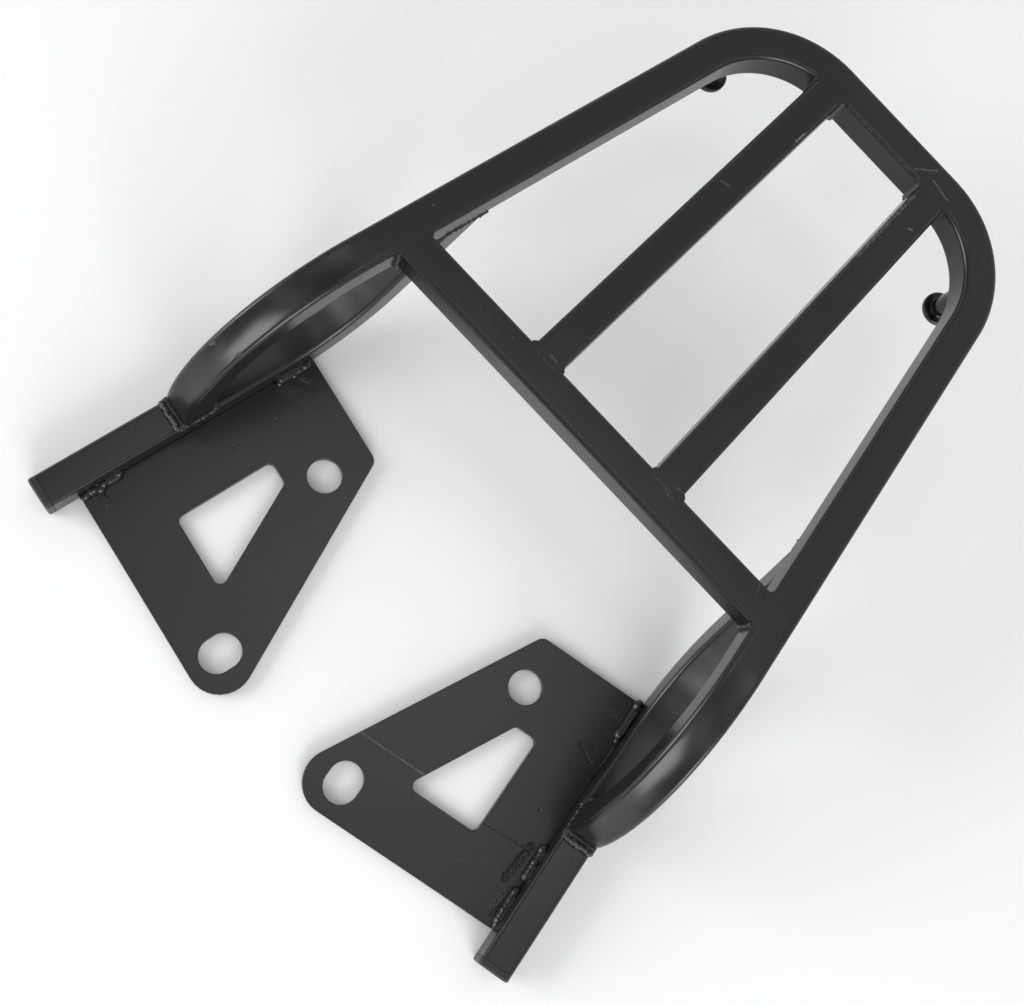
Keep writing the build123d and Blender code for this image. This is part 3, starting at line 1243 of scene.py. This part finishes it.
@dataclass
class EndCap:
    """Plastic cap: flange, plug and ribs.

    Attributes:
        side: Side that the cap is on.
        sizes: The rack's shared sizes.
        flange: Thickness of the flange in front of the rail.
        edge: Rounding of the flange's edges.
        plug: Depth of the plug in the rail.
        plug_corner: Radius of the plug's corners.
        clearance: Gap between the plug and the rail's wall.
        rib: Height of the ribs on the plug.
        rib_length: Length of a rib.
        rib_pitch: Distance between ribs.
    """

    side: Side
    sizes: RackSizes = SIZES
    flange: float = 3.6
    edge: float = 1.1
    plug: float = 14.0
    plug_corner: float = 0.7
    clearance: float = 0.3
    rib: float = 0.2
    rib_length: float = 1.2
    rib_pitch: float = 4.0

    def build(self, material: bpy.types.Material) -> None:
        """Builds and dresses the cap."""
        s = self.sizes
        front = Station(s.leg_point(s.rail_length, s.tube / 2), s.outward.copy(), s.leg_dir.copy())
        plug, corner = s.tube - 2 * s.wall - 2 * self.clearance, self.plug_corner
        ribbed = plug + 2 * self.rib
        # Side, corner radius and place of each ring, from the plug's end to the flange's face.
        rows = [(plug, corner, -self.plug)]
        for index in (3, 2, 1):
            low = -index * self.rib_pitch
            high = low + self.rib_length
            rows += [(plug, corner, low), (ribbed, corner, low)]
            rows += [(ribbed, corner, high), (plug, corner, high)]
        rows += [(plug, corner, 0.05), (s.tube - 0.3, s.corner, 0.05), (s.tube, s.corner, 0.25)]
        for turn in arc(90.0, 5):
            inset = self.edge * (1 - math.cos(turn))
            at = self.flange - self.edge * (1 - math.sin(turn))
            rows.append((s.tube - 2 * inset, s.corner - inset * 0.6, at))
        rows.append((s.tube - 5.0, 1.0, self.flange + 0.12))
        rings = [self._ring(front, *row) for row in rows]
        word = self.side.word
        lofted(f"rack_cap_{word}", rings, material, "cap_plastic", f"end_cap_{word}", self.side)

    def _ring(self, front: Station, side: float, corner: float, at: float) -> list[Vector]:
        """Square ring at a distance in front of the rail's end."""
        place = Station(front.origin + front.heading * at, front.side, front.heading)
        return place.ring(rounded_square(side, corner))


@dataclass(frozen=True)
class Seam:
    """How the ripples of one kind of weld are laid.

    Attributes:
        seed: Seed of the variation, to which the right side adds 1 and the left one takes 1 away.
        bead: Size and spacing of the ripples.
        rise: How far those in a corner stand off both walls.
        depth: How far those on a flush seam lie below the flush side.
    """

    seed: int
    bead: Bead
    rise: float = 1.25
    depth: float = 0.9


SEAMS = {
    "foot": Seam(11, Bead(1.35, 1.1, 0.95, 0.45)),
    "rail": Seam(23, Bead.neat(1.2), 0.7, 0.5),
    "cross": Seam(31, Bead.neat(0.9), 0.5),
    "plate": Seam(41, Bead(2.3, 2.7, 1.2, 1.1)),
    "peg": Seam(53, Bead.neat(1.1)),
    "bar_rear": Seam(61, Bead.neat(0.8), 0.4),
    "bar_front": Seam(67, Bead.neat(0.8), 0.4),
}


@dataclass
class Welding:
    """Ripples over the plain weld deposits, and the deposits' own finish.

    Attributes:
        tree: Geometry tree that lays the ripples.
        material: Usual finish.
        rough: Finish of the stitches at the plates.
        painted_sheen: Finish at the hoop's feet, paler than the other welds as a painted sheen of the light
            on them.
        sizes: The rack's shared sizes.
        foot_rises: Rises of the three rows in front of the hoop's foot.
        stitch_inset: How far inside a stitch's ends its first and last ripples lie.
        stitch_rise: How far the stitches' ripples stand above the plate.
        stitch_gap: How far they stand off the rail.
        peg_gap: How far the ripples round a peg stand off it.
        peg_drop: How far they hang below the hoop.
    """

    tree: RippleTree
    material: bpy.types.Material
    rough: bpy.types.Material
    painted_sheen: bpy.types.Material
    sizes: RackSizes = SIZES
    foot_rises: tuple[float, ...] = (0.5, 1.5, 2.4)
    stitch_inset: float = 1.5
    stitch_rise: float = 0.6
    stitch_gap: float = 0.9
    peg_gap: float = 0.6
    peg_drop: float = 0.7

    def deposits(self) -> None:
        """Dresses the plain deposits that show between the tubes."""
        for name, node in frame["nodes"].items():
            if name.startswith("weld_"):
                finish = self.rough if name.startswith("weld_plate") else self.material
                # The deposits at the hoop's feet get the paler finish, a painted sheen.
                finish = self.painted_sheen if name.startswith("weld_hoop_foot") else finish
                node.data.materials.clear()
                node.data.materials.append(finish)

    def foot(self, side: Side) -> None:
        """Ripples round the hoop's foot on the rail."""
        s = self.sizes
        lift = s.middle - s.drop_bend - s.tube
        far = math.sqrt((s.drop_bend + s.tube / 2) ** 2 - lift ** 2)
        near = math.sqrt((s.drop_bend - s.tube / 2) ** 2 - lift ** 2)
        origin = s.leg_point(s.drop_start + (far + near) / 2, s.tube)
        joint = Joint(origin, UP, s.leg_dir, (far - near) / 2, s.outward).on(side)
        seam = SEAMS["foot"]
        paths = [joint.corner_path(1, rise) for rise in self.foot_rises]
        paths.append(joint.corner_path(-1, seam.rise))
        paths += [joint.flush_path(sign, seam.depth) for sign in (1, -1)]
        self._lay("foot", side, paths, self.painted_sheen)

    def rail_top(self, side: Side) -> None:
        """Bead where the rail meets the leg's underside, in place of the plain deposit."""
        s = self.sizes
        end = LowerRail(side).path()[-1]
        origin = end.origin + end.heading * ((s.under - end.origin.z) / end.heading.z)
        ahead = Vector((-end.heading.x, -end.heading.y, 0.0)).normalized()
        joint = Joint(origin, -UP, ahead, s.tube / 2 / end.heading.z, end.side).on(side)
        seam = SEAMS["rail"]
        paths = [joint.corner_path(sign, seam.rise) for sign in (1, -1)]
        paths += [joint.flush_path(sign, seam.depth) for sign in (1, -1)]
        self._lay("rail", side, paths, self.material, f"weld_rail_top_{side.word}")

    def cross(self, side: Side) -> None:
        """Ripples at an end of the cross bar."""
        s = self.sizes
        along = (s.cross_front - s.tube / 2) / math.cos(s.spread)
        shift = s.tube / 2 * math.tan(s.spread)
        origin = s.leg_point(along, s.middle) - s.outward * (s.tube / 2) - s.leg_dir * shift
        joint = Joint(origin, -s.outward, s.leg_dir, s.tube / 2 / math.cos(s.spread), UP).on(side)
        seam = SEAMS["cross"]
        paths = [joint.corner_path(1, seam.rise), joint.flush_path(-1, seam.depth)]
        self._lay("cross", side, paths, self.material)

    def bars(self, place: str, y: float, normal: Vector, ends: Sequence[float]) -> None:
        """Ripples under the ends of the long bars and in one corner of each.

        Args:
            place: Key of these ends in SEAMS.
            y: Y of the wall that they stand on.
            normal: Out of that wall.
            ends: X of the bars' ends, right and left.
        """
        seam = SEAMS[place]
        paths = []
        for sign, x in zip((1, -1), ends):
            joint = Joint(Vector((x, y, self.sizes.middle)), normal, ACROSS, self.sizes.tube / 2, UP)
            paths += [joint.flush_path(-1, seam.depth), joint.corner_path(sign, seam.rise)]
        self._lay(place, None, paths, self.material)

    def stitches(self, side: Side, starts: Sequence[float], length: float, setback: float) -> None:
        """Rough stitches in the corner between rail and plate."""
        s = self.sizes
        base = s.leg_point(s.rail_length, s.plate + self.stitch_rise)
        base -= s.outward * (s.tube / 2 + self.stitch_gap)
        paths = []
        for start in starts:
            first = base - s.leg_dir * (setback + start + self.stitch_inset)
            last = base - s.leg_dir * (setback + start + length - self.stitch_inset)
            paths.append([side.across(first), side.across(last)])
        self._lay("plate", side, paths, self.rough)

    def peg(self, side: Side, place: Vector, radius: float) -> None:
        """Ripples round the root of a peg."""
        low = place - UP * self.peg_drop
        ring = [side.across(low + arm(radius + self.peg_gap, a)) for a in turns(PEG_EDGES // 2)]
        self._lay("peg", side, [ring + ring[:1]], self.material)

    def _lay(
        self,
        place: str,
        side: Side | None,
        paths: Sequence[Sequence[Vector]],
        material: bpy.types.Material,
        *nodes: str,
    ) -> None:
        """Lays the ripples of one place as a piece of its own, which may stand for nodes.

        Args:
            place: Key of the place in SEAMS, which also names the piece.
            side: Side of the rack, or None where one piece has both.
            paths: Points of each path, in millimetres.
            material: Finish of the ripples.
            nodes: Nodes of the frame that the piece stands for.
        """
        name = f"ripples_{place}_{side.word}" if side else f"ripples_{place}"
        seam = SEAMS[place]
        seed = seam.seed + (side.value if side else 0)
        piece = self.tree.lay(name, paths, material, seam.bead, seed)
        adopt(piece, "weld_paint", *nodes)


# Studio


@dataclass(frozen=True)
class Softbox:
    """A rectangular light that faces the rack.

    Attributes:
        name: Name of the light.
        azimuth: Degrees from the front towards the rider's right.
        elevation: Degrees above the floor.
        distance: Distance from the rack in metres.
        width: Width in metres.
        height: Height in metres.
        level: Radiance, where 1 shows as white.
    """

    name: str
    azimuth: float
    elevation: float = 21.0
    distance: float = 2.4
    width: float = 1.6
    height: float = 1.45
    level: float = 5.0

    def build(self, target: Vector) -> None:
        """Hangs the light so that it faces a target in metres."""
        data = bpy.data.lights.new(self.name, "AREA")
        data.shape = "RECTANGLE"
        data.size, data.size_y = self.width, self.height
        data.energy = self.level * math.pi * self.width * self.height
        a, e = math.radians(self.azimuth), math.radians(self.elevation)
        away = Vector((math.sin(a) * math.cos(e), math.cos(a) * math.cos(e), math.sin(e)))
        thing = show(self.name, data)
        thing.rotation_mode = "QUATERNION"
        thing.location = target + away * self.distance
        thing.rotation_quaternion = away.to_track_quat("Z", "Y")


class Axis(Enum):
    """Parts of a direction into the sky."""

    RIGHT = 0
    AHEAD = 1
    UP = 2


@dataclass(frozen=True)
class Glow:
    """Light that a part of the sky adds, or takes away where the level is negative.

    Attributes:
        level: Radiance where every limit is met.
        limits: Soft edges: an axis, where the light is 0 and where it is full.
    """

    level: float
    limits: tuple[tuple[Axis, float, float], ...]

    def shade(self, way: dict[Axis, Shade]) -> Shade | float:
        """The light in a direction, given by its three parts."""
        light: Shade | float = self.level
        for axis, start, end in self.limits:
            light = way[axis].step(start, end) * light
        return light


WALLS = ((Axis.UP, 0.08, 0.20), (Axis.UP, 0.72, 0.55))
OVERHEAD = (Axis.UP, 0.85, 0.90)
GLOWS = {
    "walls": Glow(0.80, WALLS),
    "dark wall ahead": Glow(-0.72, (*WALLS, (Axis.AHEAD, 0.62, 0.78))),
    "crown ahead": Glow(0.9, ((Axis.AHEAD, 0.20, 0.32), (Axis.UP, 0.76, 0.80), (Axis.UP, 0.89, 0.86))),
    "ceiling behind": Glow(
        0.25, ((Axis.AHEAD, -0.12, -0.30), (Axis.UP, 0.55, 0.72), (Axis.UP, 0.92, 0.87))
    ),
    "ceiling on the left": Glow(0.16, ((Axis.RIGHT, 0.12, -0.12), (Axis.UP, 0.5, 0.8))),
    "zenith": Glow(0.38, ((Axis.UP, 0.942, 0.958), (Axis.RIGHT, 0.25, 0.225))),
    "panel": Glow(
        0.5,
        (
            (Axis.RIGHT, 0.27, 0.22),
            (Axis.RIGHT, -0.28, -0.23),
            (Axis.AHEAD, -0.03, -0.10),
            (Axis.AHEAD, -0.33, -0.25),
            OVERHEAD,
        ),
    ),
    "strip low ahead": Glow(
        1.5,
        ((Axis.UP, 0.0, 0.05), (Axis.UP, 0.25, 0.17), (Axis.AHEAD, 0.76, 0.86), (Axis.AHEAD, 0.98, 0.96)),
    ),
}


@dataclass(frozen=True)
class Studio:
    """Camera, lights, sky and floor.

    Attributes:
        camera_place: Place of the camera in metres.
        camera_turn: Its turn as a quaternion.
        lens: Focal length in millimetres on a 36 mm sensor.
        target: What the softboxes face, in metres.
        azimuth: Degrees of the softboxes from the front.
        ambient: Radiance of the whole sky.
        lamp_ahead: Where the round lamp's middle is overhead, as the AHEAD part.
        floor_reach: Half width of the floor in millimetres.
        floor_drop: How far the floor is under the plates in millimetres.
    """

    camera_place: tuple[float, float, float] = (0.002631, 0.127196, 0.623404)
    camera_turn: tuple[float, float, float, float] = (-0.390085, 0.059482, 0.131378, 0.909415)
    lens: float = 47.52
    target: tuple[float, float, float] = (0.0, -0.05, 0.05)
    azimuth: float = 51.0
    ambient: float = 0.15
    lamp_ahead: float = -0.2
    floor_reach: float = 1800.0
    floor_drop: float = 0.4

    def camera(self) -> None:
        """Sets the camera where the photograph was taken."""
        data = bpy.data.cameras.new("camera")
        data.sensor_width = 36.0
        data.lens = self.lens
        data.clip_start = 0.01
        thing = show("camera", data)
        thing.rotation_mode = "QUATERNION"
        thing.location = self.camera_place
        thing.rotation_quaternion = Quaternion(self.camera_turn)
        bpy.context.scene.camera = thing

    def sky(self) -> None:
        """A room with pale walls, dark ahead and at the horizon, with a panel and a lamp overhead."""
        world = bpy.data.worlds.new("studio")
        bpy.context.scene.world = world
        world.use_nodes = True
        board = Board(world.node_tree)
        toward = board.add("ShaderNodeTexCoord", out="Generated")
        way = {axis: board.add("ShaderNodeSeparateXYZ", {}, {0: toward}, axis.value) for axis in Axis}
        right, ahead = way[Axis.RIGHT], way[Axis.AHEAD] - self.lamp_ahead
        aside = (right * right + ahead * ahead) ** 0.5
        lamp = aside.step(0.24, 0.10) * Glow(1.0, ((Axis.AHEAD, -0.34, -0.26), OVERHEAD)).shade(way)
        level = lamp + self.ambient
        for glow in GLOWS.values():
            level = level + glow.shade(way)
        # A Mix node limits its factor to 1, so the level is halved and the white doubled.
        colour = board.mix(level * 0.5, (0.0, 0.0, 0.0, 1.0), (2.0, 2.0, 2.0, 1.0))
        world.node_tree.links.new(colour.socket, world.node_tree.nodes["Background"].inputs["Color"])

    def floor(self) -> None:
        """A large pale floor under the rack."""
        sketch = Sketch()
        reach = self.floor_reach
        corners = ((-reach, -reach), (reach, -reach), (reach, reach), (-reach, reach))
        sketch.mesh.faces.new(sketch.ring([Vector((x, y, -self.floor_drop)) for x, y in corners]))
        data = bpy.data.meshes.new("floor")
        sketch.mesh.to_mesh(data)
        sketch.mesh.free()
        thing = show("floor", data)
        material = bpy.data.materials.new("floor_paper")
        material.use_nodes = True
        shader = material.node_tree.nodes["Principled BSDF"]
        shader.inputs["Base Color"].default_value = (0.95, 0.95, 0.95, 1.0)
        shader.inputs["Roughness"].default_value = 0.9
        shader.inputs["Specular IOR Level"].default_value = 0.1
        data.materials.append(material)

    def build(self) -> None:
        """Sets everything up."""
        bpy.context.scene.view_settings.view_transform = "Standard"
        self.camera()
        for side in Side:
            Softbox(f"front_softbox_{side.word}", self.azimuth * side.value).build(Vector(self.target))
        self.sky()
        self.floor()


# Assembly


@dataclass
class Rack:
    """The whole rack.

    Attributes:
        sizes: The shared sizes.
        stitch_length: Length of a stitch weld between rail and plate.
        first_stitch: Distance from the plate's front edge to the first stitch.
        middle_stitch: Distance to the left plate's middle stitch.
    """

    sizes: RackSizes = SIZES
    stitch_length: float = 20.0
    first_stitch: float = 1.5
    middle_stitch: float = 24.0

    def tubes(self) -> None:
        """Hoop, bars and rails."""
        s = self.sizes
        Hoop().build(BlackPaint("hoop_paint", scuffs=HOOP_MARKS).make())
        wall = s.leg_point(0.0, s.middle) - s.outward * (s.tube / 2)
        y = s.cross_face - s.tube / 2
        x = wall.x + (y - wall.y) * math.tan(s.spread)
        right = Vector((x, y, s.middle))
        left = Side.LEFT.across(right)
        cuts = (Side.LEFT.across(s.outward), s.outward)
        cross = StraightBar("rack_cross_bar", "cross_bar", left, right, FORWARD.copy(), *cuts)
        cross.build(BlackPaint("cross_bar_paint", scuffs=CROSS_MARKS).make())
        for side, (rear_x, front_x) in BAR_ENDS.items():
            rear = Vector((rear_x, s.rear_front, s.middle))
            front = Vector((front_x, s.cross_face - s.tube, s.middle))
            name = f"long_bar_{side.word}"
            bar = StraightBar(f"rack_{name}", name, rear, front, UP.copy(), FORWARD, FORWARD)
            bar.build(BlackPaint(f"{name}_paint", scuffs=BAR_MARKS[side]).make())
        paint = BlackPaint("rail_paint", level=0.013, nibs=0.25, scuffs=RAIL_MARKS).make()
        for side in Side:
            LowerRail(side).build(paint)

    def fittings(self) -> None:
        """Plates, pegs and caps."""
        for side in Side:
            name = f"plate_paint_{side.word}"
            marked = PLATE_MARKS[side]
            paint = BlackPaint(name, level=0.013, gloss=0.30, swell=0.03, nibs=0.3, scuffs=marked)
            MountPlate(side).build(paint.make())
        gloss = BlackPaint("peg_gloss", level=0.008, gloss=0.16, nibs=0.0).make()
        plastic = MouldedPlastic().make()
        for side in Side:
            StrapPeg(side).build(gloss)
            EndCap(side).build(plastic)

    def welds(self) -> None:
        """Weld deposits and ripples."""
        s = self.sizes
        paint = BlackPaint("weld_paint", gloss=0.24, lumps=0.10, nibs=0.2).make()
        rough = BlackPaint("weld_rough", gloss=0.22, lumps=0.3, nibs=0.2).make()
        # Paler colour at the hoop's feet: a painted sheen standing in for the light those welds catch.
        painted_sheen = BlackPaint("weld_painted_sheen", level=0.035, gloss=0.34, lumps=0.12, nibs=0.2).make()
        welding = Welding(RippleTree(), paint, rough, painted_sheen)
        welding.deposits()
        plate = MountPlate(Side.RIGHT)
        first, middle = self.first_stitch, self.middle_stitch
        last = plate.length - first - self.stitch_length
        starts = {Side.RIGHT: (first, last), Side.LEFT: (first, middle, last)}
        for side in Side:
            welding.foot(side)
            welding.rail_top(side)
            welding.cross(side)
            welding.stitches(side, starts[side], self.stitch_length, plate.setback)
            peg = StrapPeg(side)
            welding.peg(side, peg.place(), peg.shank / 2)
        rear, front = zip(*BAR_ENDS.values())
        welding.bars("bar_rear", s.rear_front, FORWARD, rear)
        welding.bars("bar_front", s.cross_face - s.tube, -FORWARD, front)


def main() -> None:
    """Builds the rack and its studio."""
    logging.basicConfig(level=logging.INFO, format="%(name)s %(message)s")
    Studio().build()
    rack = Rack()
    rack.tubes()
    rack.fittings()
    rack.welds()


if __name__ == "__main__":
    main()
